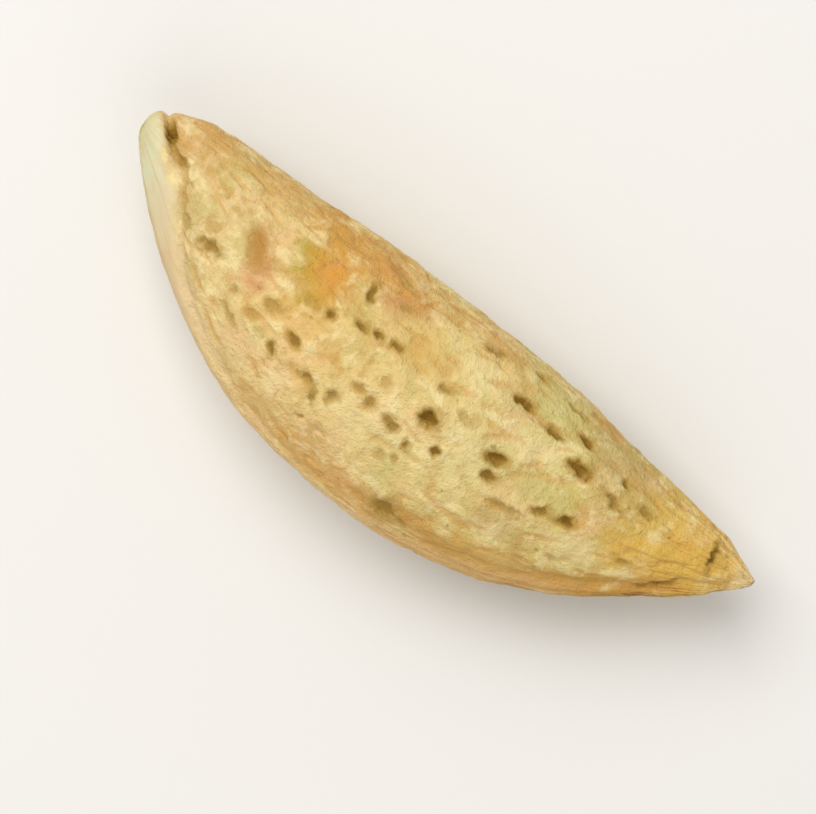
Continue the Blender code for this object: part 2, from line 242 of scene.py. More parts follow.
def keelRelief(along, around, form):
    fromKeel = form[:, 1] - keelEdge(along)
    overLip = np.clip(fromKeel / lipWidth(along), 0, 1)
    # a hump with its crest two thirds of the way over, where 6.75 brings it to the full rise
    lip = lipRise(along) * overLip**2 * (1 - overLip) * 6.75
    groove = grooveDepth(along) * bell(fromKeel - lipWidth(along), keel["grooveWidth"] * mm)
    fromSuture = form[:, 2] - sutureHeight(along)
    slit = slitDepth(along) * bell(fromSuture, keel["slitWidth"] * mm) * np.clip(-np.cos(around), 0, 1)
    bank = backSeam["bankRise"] * mm * bell(fromSuture, backSeam["bankWidth"] * mm)
    seam = bank - backSeam["depth"] * mm * bell(fromSuture, backSeam["width"] * mm)
    crests = lip - groove - slit + seam * np.clip(np.cos(around), 0, 1)
    return crests * np.sin(along) ** 0.5 - keel["scarDepth"] * mm * stalkScar(form)


def fibrousPart(along, around):
    share = shareAlong(along)
    margin = np.clip((share - bareFibres["start"]) / bareFibres["gain"], 0, 1)
    margin = margin * bell(around - math.pi, math.radians(bareFibres["halfAngle"]))
    tip = bell(share - bareFibres["tipPlace"], bareFibres["tipReach"])
    return np.maximum(margin, bareFibres["tipStrength"] * tip)


def furrowRelief(along, around):
    share = shareAlong(along)
    relief = np.zeros(len(along))
    fibrous = fibrousPart(along, around)
    for face in (1, -1):
        fromKeel = np.where(np.sin(around) * face >= 0, np.abs(around - math.pi), math.inf)
        for i in range(furrows["count"]):
            step = ((i + furrows["first"]) / furrows["count"]) ** furrows["crowding"]
            place = math.radians(furrows["spread"]) * step
            phase = furrows["phaseStep"] * i + furrows["phaseFace"] * face
            wander = math.radians(furrows["wander"]) * np.sin(furrows["wanderWaves"] * share + phase)
            wander *= math.sin(place)
            shown = np.sin(furrows["fadeWaves"] * share + furrows["fadePhase"] * phase) ** 2
            strength = furrows["faintest"] + (1 - furrows["faintest"]) * shown
            depth = furrows["depth"] * mm * strength * fibrous
            relief -= depth * bell(fromKeel - place - wander, math.radians(furrows["halfAngle"]))
    return relief * clearOfEnds(along)


def swellRelief(form):
    stretch = Vector((1 / swells["along"], 1 / swells["across"], 1 / swells["across"])) / mm
    return np.array([swells["rise"] * mm * noise.noise(Vector(p) * stretch) for p in form])


def ringAngles():
    # rings at equal steps over the surface, from pole to pole
    fine = np.linspace(0, math.pi, 4000)
    top = smoothForm(fine, np.full(len(fine), math.pi / 2))
    side = smoothForm(fine, np.full(len(fine), math.pi))
    steps = sum(np.linalg.norm(np.diff(line, axis=0), axis=1) for line in (top, side))
    length = np.concatenate([[0], np.cumsum(steps)])
    return np.interp(np.linspace(0, length[-1], shell["ringsAlong"] + 1), length, fine)


def closedRings(rings, columns):
    # faces of a closed skin: pole, rings of points, pole
    ring, column = np.meshgrid(np.arange(rings - 1), np.arange(columns), indexing="ij")
    ring, column = ring.ravel(), column.ravel()
    a = 1 + ring * columns + column
    b = 1 + ring * columns + (column + 1) % columns
    quads = np.stack([a, b, b + columns, a + columns], axis=1).tolist()
    last = 1 + rings * columns
    foot = last - columns
    for i in range(columns):
        quads.append([0, 1 + (i + 1) % columns, 1 + i])
        quads.append([last, foot + i, foot + (i + 1) % columns])
    return quads


def meshPoints(mesh, normals=False):
    values = np.empty(len(mesh.vertices) * 3, np.float32)
    if normals:
        mesh.vertex_normals.foreach_get("vector", values)
    else:
        mesh.vertices.foreach_get("co", values)
    return values.reshape(-1, 3).astype(float)


def movePoints(mesh, points):
    mesh.vertices.foreach_set("co", points.astype(np.float32).ravel())
    mesh.update()


def keepAttribute(mesh, name, values):
    kind, key = ("FLOAT_VECTOR", "vector") if values.ndim == 2 else ("FLOAT", "value")
    attribute = mesh.attributes.new(name, kind, "POINT")
    attribute.data.foreach_set(key, values.astype(np.float32).ravel())


def newObject(name, mesh):
    piece = bpy.data.objects.new(name, mesh)
    bpy.context.scene.collection.objects.link(piece)
    return piece


angles = ringAngles()[1:-1]
columns = np.concatenate([
    np.linspace(0, math.pi, shell["pointsAbove"], endpoint=False),
    np.linspace(math.pi, 2 * math.pi, shell["pointsBelow"], endpoint=False),
])
ringGrid, columnGrid = np.meshgrid(angles, columns, indexing="ij")
along = np.concatenate([[0.0], ringGrid.ravel(), [math.pi]])
around = np.concatenate([[0.0], columnGrid.ravel(), [0.0]])
form = smoothForm(along, around)
formMesh = bpy.data.meshes.new("shellForm")
formMesh.from_pydata(form.tolist(), [], closedRings(len(angles), len(columns)))
formNormals = meshPoints(formMesh, normals=True)
bigRelief = keelRelief(along, around, form) + furrowRelief(along, around) + swellRelief(form)

# pits and creases: along and across from the chord, long, wide in mm, turn of the long side in
# degrees, share of the full depth
pits = {
    "marked": [
        (1.7, 0.45, 1.7, 0.5, -52, 1.0), (2.9, -0.45, 1.3, 0.35, -12, 0.6),
        (5.2, -2.9, 0.9, 0.45, -50, 0.5), (7.0, -3.2, 1.6, 0.6, 15, 0.7),
        (9.0, -1.9, 2.3, 0.8, -57, 0.35), (9.4, -4.2, 0.6, 0.4, -45, 0.5),
        (9.9, -5.3, 1.5, 0.35, -20, 0.45), (10.8, -4.7, 0.8, 0.5, 0, 0.3),
        (11.4, -3.7, 0.8, 0.6, 0, 0.5), (11.8, -5.1, 0.6, 0.4, 0, 0.3),
        (12.7, -5.4, 0.9, 0.5, -50, 0.8), (13.1, -2.3, 1.2, 0.4, -15, 0.35),
        (13.4, -4.4, 0.8, 0.5, -20, 0.8), (14.1, -2.2, 0.6, 0.6, 0, 0.8),
        (15.1, -5.5, 1.0, 0.5, -15, 0.7), (15.2, 0.0, 1.3, 0.5, -80, 0.8),
        (15.8, -1.7, 0.8, 0.5, -10, 0.7), (15.9, -6.1, 0.8, 0.4, -50, 0.7),
        (16.3, 1.4, 1.6, 0.4, -20, 0.4), (16.7, -5.5, 0.9, 0.6, 60, 0.6),
        (16.7, -1.6, 0.8, 0.5, 0, 0.8), (17.0, 0.4, 0.8, 0.4, 20, 0.4),
        (17.5, -4.3, 0.7, 0.5, 0, 0.5), (17.8, -1.45, 0.7, 0.5, 10, 0.8),
        (18.4, -4.6, 0.7, 0.6, 0, 0.6), (18.5, -3.3, 0.6, 0.5, 0, 0.35),
        (19.9, -4.8, 0.9, 0.6, 0, 0.7), (20.4, -6.35, 0.7, 0.5, 0, 0.4),
        (21.1, -6.2, 0.4, 0.4, 0, 0.5), (21.1, -1.7, 0.8, 0.4, 15, 0.6),
        (21.2, -5.2, 0.7, 0.45, -60, 0.7), (21.3, -3.4, 1.0, 0.9, 0, 1.0),
        (22.0, 1.4, 1.2, 0.6, 20, 0.6), (22.3, -8.6, 1.4, 0.9, -20, 0.6),
        (22.6, -4.6, 0.5, 0.5, 0, 0.9), (22.7, -2.3, 0.9, 0.4, -25, 0.4),
        (23.4, -8.7, 0.5, 0.4, 0, 0.5), (24.7, 0.2, 1.4, 0.55, 8, 1.0),
        (24.7, 1.8, 0.8, 0.4, 0, 0.6), (25.3, -3.0, 1.2, 0.7, 20, 0.95),
        (25.5, -3.95, 0.9, 0.6, 5, 0.8), (26.9, -0.1, 1.3, 0.4, 5, 0.8),
        (27.1, -4.7, 2.2, 0.4, 5, 0.5), (27.3, 1.5, 1.1, 0.4, 0, 0.6),
        (28.3, 2.0, 0.7, 0.4, 0, 0.4), (28.5, 0.6, 1.0, 0.5, 5, 0.9),
        (28.7, -3.75, 1.0, 0.5, 15, 0.7), (29.1, -0.8, 1.5, 0.65, 5, 1.0),
        (30.1, -3.4, 1.0, 0.6, 10, 1.0), (30.6, -5.3, 0.7, 0.4, 0, 0.35),
        (31.5, -1.1, 1.6, 0.5, -10, 0.6), (31.5, 0.05, 0.6, 0.45, 0, 0.8),
        (33.2, -0.5, 1.0, 0.4, 0, 0.6), (33.8, -3.3, 0.9, 0.5, 0, 0.5),
        (36.0, -3.1, 2.6, 0.35, 42, 0.6), (37.4, -0.2, 1.5, 0.4, -72, 0.9),
    ],
    "under": 62,  # on the underside
    "tries": 6000,
    "spacing": 1.35,  # mm
    "long": (0.65, 1.35),  # mm
    "wide": (0.45, 0.85),  # mm
    "strength": (0.4, 1.0),
    "turn": 25.0,  # degrees
    "depth": 0.55,  # of the width
    "restGap": 3.2,  # mm kept clear round the resting spot
    "lipGap": 0.6,  # mm kept clear beside the lip
    "seamGap": 0.3,  # kept clear beside the seams, as a sine of the angle round
    "shares": (0.08, 0.93),  # of the length
    "thinning": (1.6, 0.8),  # the higher, the fewer towards the seams and the ends
    "seed": 11,
}


def aroundAt(along, across):
    middle = (backEdge(along) + keelEdge(along)) / 2
    cosine = (across - middle) / ((backEdge(along) - keelEdge(along)) / 2)
    return math.acos(min(max(float(cosine), -0.98), 0.98))  # never quite on the edge


def restSpot():
    # the lowest place of the underside, by a fine search
    grid = np.meshgrid(
        np.linspace(0.2 * math.pi, 0.8 * math.pi, 200), np.linspace(1.25 * math.pi, 1.75 * math.pi, 200)
    )
    points = smoothForm(grid[0].ravel(), grid[1].ravel())
    return points[points[:, 2].argmin()][:2]


def pitPlaces():
    rng = random.Random(pits["seed"])
    places = []
    for x, y, long, wide, turn, strength in pits["marked"]:
        alongHere = math.acos(1 - 2 * x / shell["length"])
        point = smoothForm(alongHere, aroundAt(alongHere, y * mm))
        places.append((point, long * mm, wide * mm, strength, math.radians(turn)))
    rest = restSpot()
    toSeams, toEnds = pits["thinning"]
    for _ in range(pits["tries"]):
        if len(places) == len(pits["marked"]) + pits["under"]:
            break
        alongHere = math.acos(1 - 2 * rng.uniform(*pits["shares"]))
        aroundHere = rng.uniform(math.pi, 2 * math.pi)
        offSeams = abs(math.sin(aroundHere))
        chance = offSeams**toSeams * math.sin(alongHere) ** toEnds
        if rng.random() > chance or offSeams < pits["seamGap"]:
            continue
        point = smoothForm(alongHere, aroundHere)
        fromLip = point[1] - keelEdge(alongHere) - lipWidth(alongHere)
        if fromLip < pits["lipGap"] * mm or math.dist(point[:2], rest) < pits["restGap"] * mm:
            continue
        if min(math.dist(point, other[0]) for other in places) < pits["spacing"] * mm:
            continue
        long, wide = rng.uniform(*pits["long"]) * mm, rng.uniform(*pits["wide"]) * mm
        strength = rng.uniform(*pits["strength"])
        turn = math.radians(rng.uniform(-pits["turn"], pits["turn"]))
        places.append((point, max(long, wide), min(long, wide), strength, turn))
    return places


def pitMarks():
    # one point for each pit, with its size and the way its long side lies
    mesh = bpy.data.meshes.new("pitMarks")
    points, longWays, crossWays, sizes = [], [], [], []
    for point, long, wide, strength, turn in pitPlaces():
        nearest = int(np.linalg.norm(form - point, axis=1).argmin())
        normal = formNormals[nearest]
        lengthwise = np.array([1.0, 0.0, 0.0]) - normal[0] * normal
        lengthwise /= np.linalg.norm(lengthwise)
        crosswise = np.cross(normal, lengthwise)
        longWays.append(lengthwise * math.cos(turn) + crosswise * math.sin(turn))
        crossWays.append(crosswise * math.cos(turn) - lengthwise * math.sin(turn))
        points.append((point + normal * bigRelief[nearest]).tolist())
        sizes.append((long / 2, wide / 2, strength))
    mesh.from_pydata(points, [], [])
    for name, values in (("longWay", longWays), ("crossWay", crossWays), ("size", sizes)):
        keepAttribute(mesh, name, np.array(values))
    return newObject("pitMarks", mesh)


# what the relief and the finish read off the form
reading = {
    "sunkShadeDepth": 0.3,  # mm of depth at which a groove takes the full painted shade
    "noseStart": 0.985,  # share of the length where no groove shows any more
    "noseFade": 0.04,
    "fibreRadius": 6.0,  # mm, of the round on which the fibres are laid out
}
share = shareAlong(along)
scar = stalkScar(form)
overLip = np.clip((form[:, 1] - keelEdge(along)) / lipWidth(along), 0, 4)
bySlit = bell(form[:, 2] - sutureHeight(along), keel["slitReach"] * mm)
bySlit *= np.clip(-np.cos(around), 0, 1)
bySlit *= clearOfEnds(along)
# the smooth part of the lip, which roughens away from the stem end and beside the slit
rolled = fadeOut(overLip, keel["rollEdge"], keel["rollEdgeFade"])
rolled *= fadeOut(share, keel["rollEnd"], keel["rollEndFade"])
rolled *= 1 - keel["rollLoss"] * bySlit
rolled *= 1 - scar
# painted shade for the grooves and creases, by how deep they sink, except on the nose of the tip and the
# scar
sunk = np.clip(-bigRelief / (reading["sunkShadeDepth"] * mm), 0, 1)
sunk *= fadeOut(share, reading["noseStart"], reading["noseFade"])
sunk *= 1 - scar
# a frame for the fibres that follows them from end to end and closes round the nut
fibreRadius = reading["fibreRadius"] * mm
fibreWay = np.stack([form[:, 0], fibreRadius * np.cos(around), fibreRadius * np.sin(around)], axis=1)
movePoints(formMesh, form + formNormals * bigRelief[:, None])
for name, values in (
    ("share", share), ("overLip", overLip), ("bySlit", bySlit), ("rolled", rolled), ("scar", scar),
    ("fibrous", fibrousPart(along, around)), ("sunk", sunk), ("fibreWay", fibreWay),
):
    keepAttribute(formMesh, name, values)
shellPiece = newObject("almondShell", formMesh)
marksPiece = pitMarks()
print("almond: smooth form made,", len(form), "points")

# pits, pores, creases and fibres drawn into the form
reliefSizes = {
    "pitDepth": pits["depth"],  # of the pit's width
    "pitRim": 1.25,  # where its wall begins; 1 is the oval of its own size, squared
    "pitReach": 1.7 * mm,  # a pit never shows further off than this
    "edgeWander": 0.70 * mm,  # how ragged a pit's edge is
    "edgeGrain": 0.50 * mm,
    "poreCrowd": 3e6,  # to a square metre, before the spacing thins them
    "poreSpacing": 0.70 * mm,
    "poreSize": 0.17 * mm,
    "poreSmallest": 0.5,  # of the size
    "poreLargest": 1.4,
    "poreFaintest": -1.2,  # pores run from this strength to 1, and below 0 there is none
    "poreSeed": 77,
    "poreDepth": 0.06 * mm,
    "fibreDepth": 0.16 * mm,
    "fibreLeast": 0.06,  # share of the depth where they don't lie bare
    "fibreWidth": 0.42 * mm,
    "fibreLength": 6.0 * mm,
    "veinDepth": 0.11 * mm,
    "veinLength": 3.2 * mm,
    "veinWidth": 1.5 * mm,
    "veinBend": 0.7,  # of a cell of the net
    "veinReach": 0.16,  # of a cell, from the middle of a crease to its edge
    "veinHidden": 0.42,  # of the noise that breaks them up
    "veinShown": 0.60,
    "lumpRise": 0.34 * mm,
    "lumpSize": 1.4 * mm,
    "lipShare": 0.3,  # share of all this on the smooth part of the lip
    "seed": 4,
}


def reliefTree():
    tree = bpy.data.node_groups.new("shellRelief", "GeometryNodeTree")
    tree.interface.new_socket("Geometry", in_out="OUTPUT", socket_type="NodeSocketGeometry")
    tree.interface.new_socket("Geometry", in_out="INPUT", socket_type="NodeSocketGeometry")
    tree.interface.new_socket("pitMarks", in_out="INPUT", socket_type="NodeSocketObject")
    tree.interface.new_socket("shellFinish", in_out="INPUT", socket_type="NodeSocketMaterial")
    for name, value in reliefSizes.items():
        kind = "NodeSocketInt" if isinstance(value, int) else "NodeSocketFloat"
        tree.interface.new_socket(name, in_out="INPUT", socket_type=kind)
    given = addNode(tree, "NodeGroupInput").outputs
    here = addNode(tree, "GeometryNodeInputPosition")
    outward = addNode(tree, "GeometryNodeInputNormal")
    kept = {}
    for name, kind in (("fibreWay", "FLOAT_VECTOR"), ("fibrous", "FLOAT"), ("rolled", "FLOAT")):
        kept[name] = addNode(tree, "GeometryNodeInputNamedAttribute", {"Name": name}, data_type=kind)

    # ragged place: the point moved a little by a noise, so that no pit is a clean oval
    perGrain = addNode(tree, "ShaderNodeMath", {0: 1.0, 1: given["edgeGrain"]}, operation="DIVIDE")
    wobble = addNode(tree, "ShaderNodeTexNoise", {"Vector": here, "Scale": perGrain, "Detail": 2.0})
    centred = addNode(
        tree, "ShaderNodeVectorMath", {0: wobble.outputs["Color"], 1: (0.5, 0.5, 0.5)},
        operation="SUBTRACT",
    )
    shift = addNode(
        tree, "ShaderNodeVectorMath", {0: centred, "Scale": given["edgeWander"]}, operation="SCALE"
    )
    ragged = addNode(tree, "ShaderNodeVectorMath", {0: here, 1: shift}, operation="ADD")

    # pits: the oval distance from the nearest mark
    marks = addNode(tree, "GeometryNodeObjectInfo", {"Object": given["pitMarks"]}).outputs["Geometry"]
    nearest = addNode(
        tree, "GeometryNodeSampleNearest", {"Geometry": marks, "Sample Position": here}, domain="POINT"
    )
    found = {"position": addNode(tree, "GeometryNodeInputPosition")}
    for name in ("longWay", "crossWay", "size"):
        found[name] = addNode(
            tree, "GeometryNodeInputNamedAttribute", {"Name": name}, data_type="FLOAT_VECTOR"
        )
    for name, value in found.items():
        found[name] = addNode(
            tree, "GeometryNodeSampleIndex", {"Geometry": marks, "Value": value, "Index": nearest},
            data_type="FLOAT_VECTOR", domain="POINT",
        )
    offset = addNode(
        tree, "ShaderNodeVectorMath", {0: ragged, 1: found["position"]}, operation="SUBTRACT"
    )
    size = addNode(tree, "ShaderNodeSeparateXYZ", {0: found["size"]}).outputs
    squares = []
    for way, half in (("longWay", size[0]), ("crossWay", size[1])):
        reach = addNode(
            tree, "ShaderNodeVectorMath", {0: offset, 1: found[way]}, operation="DOT_PRODUCT"
        ).outputs["Value"]
        share = addNode(tree, "ShaderNodeMath", {0: reach, 1: half}, operation="DIVIDE")
        squares.append(addNode(tree, "ShaderNodeMath", {0: share, 1: 2.0}, operation="POWER"))
    oval = addNode(tree, "ShaderNodeMath", {0: squares[0], 1: squares[1]}, operation="ADD")
    # beyond its reach a mark is put well outside the rim
    away = addNode(tree, "ShaderNodeVectorMath", {0: offset}, operation="LENGTH").outputs["Value"]
    far = addNode(tree, "ShaderNodeMath", {0: away, 1: given["pitReach"]}, operation="GREATER_THAN")
    oval = addNode(tree, "ShaderNodeMath", {0: far, 1: 9.0, 2: oval}, operation="MULTIPLY_ADD")
    bowl = addNode(
        tree, "ShaderNodeMapRange",
        {"Value": oval, "From Min": given["pitRim"], "From Max": 0.0, "To Min": 0.0, "To Max": size[2]},
        interpolation_type="SMOOTHSTEP",
    )
    wide = addNode(tree, "ShaderNodeMath", {0: size[1], 1: 2.0}, operation="MULTIPLY")
    deep = addNode(tree, "ShaderNodeMath", {0: wide, 1: given["pitDepth"]}, operation="MULTIPLY")
    pitFall = addNode(tree, "ShaderNodeMath", {0: bowl, 1: deep}, operation="MULTIPLY")

    # pores: small round holes strewn over the shell, many of them too faint to see
    pores = addNode(
        tree, "GeometryNodeDistributePointsOnFaces",
        {"Mesh": given["Geometry"], "Distance Min": given["poreSpacing"],
         "Density Max": given["poreCrowd"], "Seed": given["seed"]},
        distribute_method="POISSON",
    ).outputs["Points"]
    nearPore = addNode(
        tree, "GeometryNodeSampleNearest", {"Geometry": pores, "Sample Position": here}, domain="POINT"
    )
    porePlace = addNode(
        tree, "GeometryNodeSampleIndex",
        {"Geometry": pores, "Value": addNode(tree, "GeometryNodeInputPosition"), "Index": nearPore},
        data_type="FLOAT_VECTOR", domain="POINT",
    )
    poreAway = addNode(
        tree, "ShaderNodeVectorMath", {0: ragged, 1: porePlace}, operation="DISTANCE"
    ).outputs["Value"]
    poreSpread = addNode(
        tree, "FunctionNodeRandomValue",
        {2: given["poreSmallest"], 3: given["poreLargest"], "ID": nearPore, "Seed": given["seed"]},
        data_type="FLOAT",
    ).outputs[1]
    poreRadius = addNode(
        tree, "ShaderNodeMath", {0: poreSpread, 1: given["poreSize"]}, operation="MULTIPLY"
    )
    poreShare = addNode(tree, "ShaderNodeMath", {0: poreAway, 1: poreRadius}, operation="DIVIDE")
    poreChance = addNode(
        tree, "FunctionNodeRandomValue",
        {2: given["poreFaintest"], 3: 1.0, "ID": nearPore, "Seed": given["poreSeed"]},
        data_type="FLOAT",
    ).outputs[1]
    poreStrength = addNode(tree, "ShaderNodeMath", {0: poreChance, 1: 0.0}, operation="MAXIMUM")
    poreHere = addNode(
        tree, "ShaderNodeMapRange",
        {"Value": poreShare, "From Min": 1.0, "From Max": 0.2, "To Min": 0.0, "To Max": poreStrength},
        interpolation_type="SMOOTHSTEP",
    )
    poreFall = addNode(tree, "ShaderNodeMath", {0: poreHere, 1: given["poreDepth"]}, operation="MULTIPLY")

    # fibres: a noise drawn out along the nut, strongest where they lie bare
    lengths = addNode(
        tree, "ShaderNodeCombineXYZ",
        {0: given["fibreLength"], 1: given["fibreWidth"], 2: given["fibreWidth"]},
    )
    drawnOut = addNode(tree, "ShaderNodeVectorMath", {0: kept["fibreWay"], 1: lengths}, operation="DIVIDE")
    fibreNoise = addNode(tree, "ShaderNodeTexNoise", {"Vector": drawnOut, "Scale": 1.0, "Detail": 3.0})
    fibreMiddle = addNode(tree, "ShaderNodeMath", {0: fibreNoise, 1: 0.5}, operation="SUBTRACT")
    fibreShare = addNode(
        tree, "ShaderNodeMapRange",
        {"Value": kept["fibrous"], "To Min": given["fibreLeast"], "To Max": 1.0},
    )
    fibreRise = addNode(tree, "ShaderNodeMath", {0: fibreMiddle, 1: fibreShare}, operation="MULTIPLY")
    fibreRise = addNode(
        tree, "ShaderNodeMath", {0: fibreRise, 1: given["fibreDepth"]}, operation="MULTIPLY"
    )

    # veins: a drawn-out net of shallow creases, broken up so that only parts of it show
    cells = addNode(
        tree, "ShaderNodeCombineXYZ", {0: given["veinLength"], 1: given["veinWidth"], 2: given["veinWidth"]}
    )
    veinWay = addNode(tree, "ShaderNodeVectorMath", {0: kept["fibreWay"], 1: cells}, operation="DIVIDE")
    bend = addNode(tree, "ShaderNodeTexNoise", {"Vector": veinWay, "Scale": 1.6, "Detail": 2.0})
    bent = addNode(
        tree, "ShaderNodeVectorMath",
        {0: bend.outputs["Color"], 1: given["veinBend"], 2: veinWay}, operation="MULTIPLY_ADD",
    )
    net = addNode(
        tree, "ShaderNodeTexVoronoi", {"Vector": bent, "Scale": 1.0}, feature="DISTANCE_TO_EDGE"
    ).outputs["Distance"]
    veinLine = addNode(
        tree, "ShaderNodeMapRange", {"Value": net, "From Min": given["veinReach"], "From Max": 0.0},
        interpolation_type="SMOOTHSTEP",
    )
    veinShown = addNode(
        tree, "ShaderNodeMapRange",
        {"Value": bend.outputs["Fac"], "From Min": given["veinHidden"], "From Max": given["veinShown"]},
    )
    veinHere = addNode(tree, "ShaderNodeMath", {0: veinLine, 1: veinShown}, operation="MULTIPLY")
    unrolled = addNode(tree, "ShaderNodeMath", {0: 1.0, 1: kept["rolled"]}, operation="SUBTRACT")
    veinHere = addNode(tree, "ShaderNodeMath", {0: veinHere, 1: unrolled}, operation="MULTIPLY")
    veinFall = addNode(tree, "ShaderNodeMath", {0: veinHere, 1: given["veinDepth"]}, operation="MULTIPLY")

    # lumps: the low unevenness between the pits
    perLump = addNode(tree, "ShaderNodeMath", {0: 1.0, 1: given["lumpSize"]}, operation="DIVIDE")
    lumps = addNode(
        tree, "ShaderNodeTexNoise", {"Vector": here, "Scale": perLump, "Detail": 4.0, "Roughness": 0.55}
    )
    lumpMiddle = addNode(tree, "ShaderNodeMath", {0: lumps, 1: 0.5}, operation="SUBTRACT")
    lumpRise = addNode(tree, "ShaderNodeMath", {0: lumpMiddle, 1: given["lumpRise"]}, operation="MULTIPLY")

    # the smooth part of the lip has little of this
    offLip = addNode(
        tree, "ShaderNodeMapRange",
        {"Value": kept["rolled"], "To Min": 1.0, "To Max": given["lipShare"]},
    )
    rise = addNode(tree, "ShaderNodeMath", {0: lumpRise, 1: fibreRise}, operation="ADD")
    for fall in (veinFall, poreFall):
        rise = addNode(tree, "ShaderNodeMath", {0: rise, 1: fall}, operation="SUBTRACT")
    rise = addNode(tree, "ShaderNodeMath", {0: rise, 1: offLip}, operation="MULTIPLY")
    rise = addNode(tree, "ShaderNodeMath", {0: rise, 1: pitFall}, operation="SUBTRACT")
    shown = given["Geometry"]
    for name, value in (
        ("pitOval", oval), ("pitStrength", size[2]), ("pore", poreHere), ("vein", veinHere),
    ):
        shown = addNode(
            tree, "GeometryNodeStoreNamedAttribute",
            {"Geometry": shown, "Name": name, "Value": value}, data_type="FLOAT", domain="POINT",
        )
    push = addNode(tree, "ShaderNodeVectorMath", {0: outward, "Scale": rise}, operation="SCALE")
    moved = addNode(tree, "GeometryNodeSetPosition", {"Geometry": shown, "Offset": push})
    whole = addNode(tree, "GeometryNodeRealizeInstances", {"Geometry": moved})
    finished = addNode(
        tree, "GeometryNodeSetMaterial", {"Geometry": whole, "Material": given["shellFinish"]}
    )
    addNode(tree, "NodeGroupOutput", {"Geometry": finished})
    return tree


def drawRelief(piece, tree, values):
    # runs the tree on the piece and keeps the result as its plain mesh
    modifier = piece.modifiers.new("relief", "NODES")
    modifier.node_group = tree
    for socket in tree.interface.items_tree:
        if socket.in_out == "INPUT" and socket.name in values:
            modifier[socket.identifier] = values[socket.name]
    graph = bpy.context.evaluated_depsgraph_get()
    mesh = bpy.data.meshes.new_from_object(piece.evaluated_get(graph))
    piece.modifiers.remove(modifier)
    old, piece.data = piece.data, mesh
    bpy.data.meshes.remove(old)
    mesh.name = piece.name


# Dry endocarp, the woody shell of the nut, as picked and sun dried: dead matt and a little powdery,
# cream on the swell of the face, tan and fibrous at the margins, dark down in the pits.
finish = {
    # ground colour from the stem end to the tip
    "ground": [
        (0.02, "#CDAC72"), (0.13, "#DABF86"), (0.30, "#E0BF79"), (0.55, "#DEC27C"),
        (0.70, "#D2BE72"), (0.80, "#CCAE5E"), (0.91, "#D9B255"), (0.96, "#EEC67A"),
    ],
    # the smooth lip of the keel, from the stem end to the tip
    "lip": [
        (0.01, "#CAC496"), (0.045, "#D6D5B0"), (0.085, "#DACAA2"), (0.16, "#D8BD90"),
        (0.30, "#E6C68F"), (0.52, "#E4BF90"), (0.74, "#DDB480"), (1.00, "#DAB27C"),
    ],
    "cream": "#EBD69A",
    "khaki": "#BDA25F",
    "moss": "#C5B970",
    "peach": "#E1B783",
    "fawn": "#C39F58",
    "tan": "#CB9A50",
    "amber": "#CF9545",
    "pit": "#886415",
    "pitEdge": "#AD8838",
    "orange": "#DA963F",
    "green": "#A99A32",
    "rust": "#BF8648",
    "salmon": "#DDA577",
    "olive": "#A9863F",
    "scar": "#D6B669",
    "gold": "#D9AE4F",
    "beakAndHighlight": "#F6DCA0",
    # grains of the colour, coarse to fine: size in mm, detail, and whether their place is bent
    "grains": [
        ("cloud", 4.2, 3.0, False), ("hue", 3.1, 3.0, False), ("mottle", 1.3, 4.0, True),
        ("speck", 0.62, 3.0, True), ("crumb", 0.34, 3.0, False), ("powder", 0.11, 2.0, False),
    ],
    "bendSize": 2.4,  # mm
    "bendReach": 1.6,  # mm
    # fibres drawn out along the nut: length and width in mm; the fine ones only show close by
    "fibres": [("bundle", 5.0, 0.6), ("fibre", 4.0, 0.2)],
    # patches: grain, where one starts and where it is full, strength, colour
    "patches": [
        ("cloud", 0.02, 0.15, 0.50, "cream"), ("cloud", -0.03, -0.16, 0.45, "khaki"),
        ("hue", 0.03, 0.14, 0.50, "moss"), ("hue", -0.03, -0.14, 0.50, "peach"),
        ("mottle", 0.02, 0.15, 0.75, "cream"), ("mottle", -0.03, -0.16, 0.75, "fawn"),
        ("speck", 0.05, 0.17, 0.42, "cream"), ("speck", -0.05, -0.18, 0.38, "khaki"),
    ],
    # streaks on the bare fibres, in the same way
    "streaks": [
        ("bundle", 0.03, 0.16, "amber"), ("fibre", 0.04, 0.18, "tan"), ("fibre", -0.04, -0.18, "cream"),
    ],
    # stains: where one starts and is full, as shares of its radius; how far specks and mottles
    # break its edge; the heights in mm, beside the keel, between which they fade out downwards
    "stainEdge": (1.45, 0.15),
    "stainBreak": (1.1, 2.2),
    "stainHeight": (4.1, 5.3),
    "ragged": {"scar": 0.3, "orange": 0.6, "rust": 0.6},  # how broken the edge is; other stains 1
    "bumpHeight": 0.14,  # mm
    "roughness": (0.78, 0.95),
    "specular": 0.3,
    "ior": 1.53,
}
